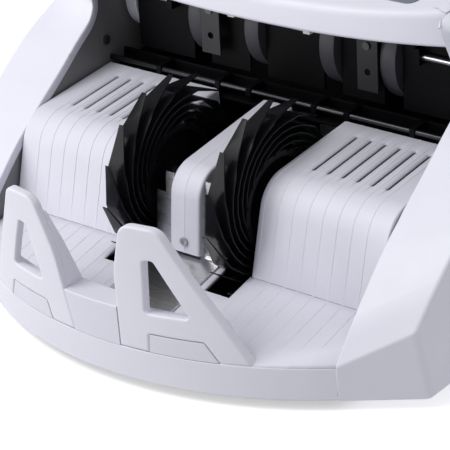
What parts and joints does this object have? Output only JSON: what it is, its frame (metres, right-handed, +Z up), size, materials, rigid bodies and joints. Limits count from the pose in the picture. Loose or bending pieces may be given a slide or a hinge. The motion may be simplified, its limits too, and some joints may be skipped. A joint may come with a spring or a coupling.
{
  "type": "banknote counting machine",
  "caption": "Desktop banknote counter: rear hopper, rubber counting drums, fingered stacker wheels, open tray with two A-shaped guards, sloping keypad head.",
  "frame": {"origin": "centre of the footprint on the table surface", "axes": "+Z up, +X to the right of a person facing the machine, +Y to its back"},
  "size_m": [0.306, 0.245, 0.1952],
  "materials": {
    "white_casing": "satin moulded",
    "white_tray": "satin moulded",
    "stainless": "bright",
    "zinc_steel": "zinc plated",
    "grey_frame": "matt grey",
    "black_sheet": "matt black",
    "black_plastic": "satin",
    "wheel_black": "gloss",
    "drum_rubber": "matt",
    "belt_rubber": "matt",
    "foot_rubber": "matt",
    "bronze": "sintered",
    "board_green": "solder mask",
    "transformer_iron": "varnished",
    "panel_grey": "matt film",
    "display_glass": "tinted",
    "lamp_glass": "milky",
    "key_grey": "satin",
    "switch_red": "gloss"
  },
  "bodies": {
    "machine": {"base_pan": "zinc_steel", "front_lip": "white_casing", "left_cheek": "white_casing", "right_cheek": "white_casing", "rear_cover": "white_casing", "top_cover": "white_casing", "stacker_tray": "white_tray", "front_wall": "white_tray", "left_guard": "white_tray", "right_guard": "white_tray", "left_delivery_plate": "white_tray", "right_delivery_plate": "white_tray", "bridge": "white_tray", "bridge_bracket": "stainless", "bridge_screw": "stainless", "left_side_frame": "grey_frame", "right_side_frame": "grey_frame", "tie_rods": "zinc_steel", "panel_screws": "zinc_steel", "exit_comb": "black_plastic", "exit_rod": "stainless", "lower_guide": "black_sheet", "upper_guide": "black_sheet", "separator_straps": "black_sheet", "head_plate": "black_sheet", "guide_rods": "stainless", "uv_lamp": "lamp_glass", "stacker_belt": "belt_rubber", "stacker_motor": "zinc_steel", "pickup_belt": "belt_rubber", "main_motor": "zinc_steel", "main_belt": "belt_rubber", "shaft_bushes": "bronze", "main_board": "board_green", "transformer": "transformer_iron", "display_panel": "panel_grey", "display_window": "display_glass", "hopper_plate": "white_casing", "power_inlet": "black_plastic", "rubber_feet": "foot_rubber"},
    "stacker_rotor": {"left_stacker_wheel": "wheel_black", "right_stacker_wheel": "wheel_black", "stacker_shaft": "stainless", "stacker_pulley": "black_plastic"},
    "stacker_motor_rotor": {"stacker_motor_pulley": "black_plastic"},
    "counting_rotor": {"counting_shaft": "stainless", "counting_drums": "drum_rubber", "counting_pulley": "key_grey"},
    "pickup_rotor": {"pickup_shaft": "stainless", "pickup_rollers": "drum_rubber"},
    "pinch_rotor": {"pinch_shaft": "stainless", "pinch_rollers": "drum_rubber"},
    "main_motor_rotor": {"main_motor_pulley": "black_plastic"},
    "left_guide": {"left_note_guide": "key_grey"},
    "right_guide": {"right_note_guide": "key_grey"},
    "knob": {"adjusting_knob": "key_grey"},
    "restart_key": {"key_restart": "key_grey"},
    "function_key": {"key_function": "key_grey"},
    "batch_key": {"key_batch": "key_grey"},
    "switch_rocker": {"power_switch": "switch_red"}
  },
  "joints": [
    {"name": "stacker_spin", "type": "hinge", "parent": "machine", "child": "stacker_rotor", "pos_m": [0, -0.01501, 0.06718], "axis": [1, 0, 0], "continuous": true},
    {"name": "stacker_motor_spin", "type": "hinge", "parent": "machine", "child": "stacker_motor_rotor", "pos_m": [-0.125, 0.01865, 0.0303], "axis": [1, 0, 0], "continuous": true},
    {"name": "counting_spin", "type": "hinge", "parent": "machine", "child": "counting_rotor", "pos_m": [0, 0.07365, 0.1236], "axis": [1, 0, 0], "continuous": true},
    {"name": "pickup_spin", "type": "hinge", "parent": "machine", "child": "pickup_rotor", "pos_m": [0, 0.09765, 0.1543], "axis": [1, 0, 0], "continuous": true},
    {"name": "pinch_spin", "type": "hinge", "parent": "machine", "child": "pinch_rotor", "pos_m": [0, 0.05725, 0.1522], "axis": [1, 0, 0], "continuous": true},
    {"name": "main_motor_spin", "type": "hinge", "parent": "machine", "child": "main_motor_rotor", "pos_m": [0.125, 0.08665, 0.0503], "axis": [1, 0, 0], "continuous": true},
    {"name": "left_guide_slide", "type": "slide", "parent": "machine", "child": "left_guide", "axis": [-1, 0, 0], "range_m": [-0.011, 0.015]},
    {"name": "right_guide_slide", "type": "slide", "parent": "machine", "child": "right_guide", "axis": [1, 0, 0], "range_m": [-0.011, 0.015]},
    {"name": "knob_turn", "type": "hinge", "parent": "machine", "child": "knob", "pos_m": [0, 0.05465, 0.1783], "axis": [0, 0, 1], "range_deg": [-150, 150]},
    {"name": "restart_key_press", "type": "slide", "parent": "machine", "child": "restart_key", "axis": [0, 0.2315, -0.9728], "range_m": [0, 0.0012], "stiffness_N_per_m": 400, "springref_m": -0.0006},
    {"name": "function_key_press", "type": "slide", "parent": "machine", "child": "function_key", "axis": [0, 0.2315, -0.9728], "range_m": [0, 0.0012], "stiffness_N_per_m": 400, "springref_m": -0.0006},
    {"name": "batch_key_press", "type": "slide", "parent": "machine", "child": "batch_key", "axis": [0, 0.2315, -0.9728], "range_m": [0, 0.0012], "stiffness_N_per_m": 400, "springref_m": -0.0006},
    {"name": "switch_rock", "type": "hinge", "parent": "machine", "child": "switch_rocker", "pos_m": [-0.046, 0.11765, 0.0443], "axis": [1, 0, 0], "range_deg": [0, 16]}
  ],
  "couplings": [
    {"joint": "stacker_motor_spin", "follows": "stacker_spin", "ratio": 1.4286},
    {"joint": "pickup_spin", "follows": "counting_spin", "ratio": 0.8},
    {"joint": "pinch_spin", "follows": "counting_spin", "ratio": -3.6429},
    {"joint": "main_motor_spin", "follows": "counting_spin", "ratio": 1.8889}
  ]
}
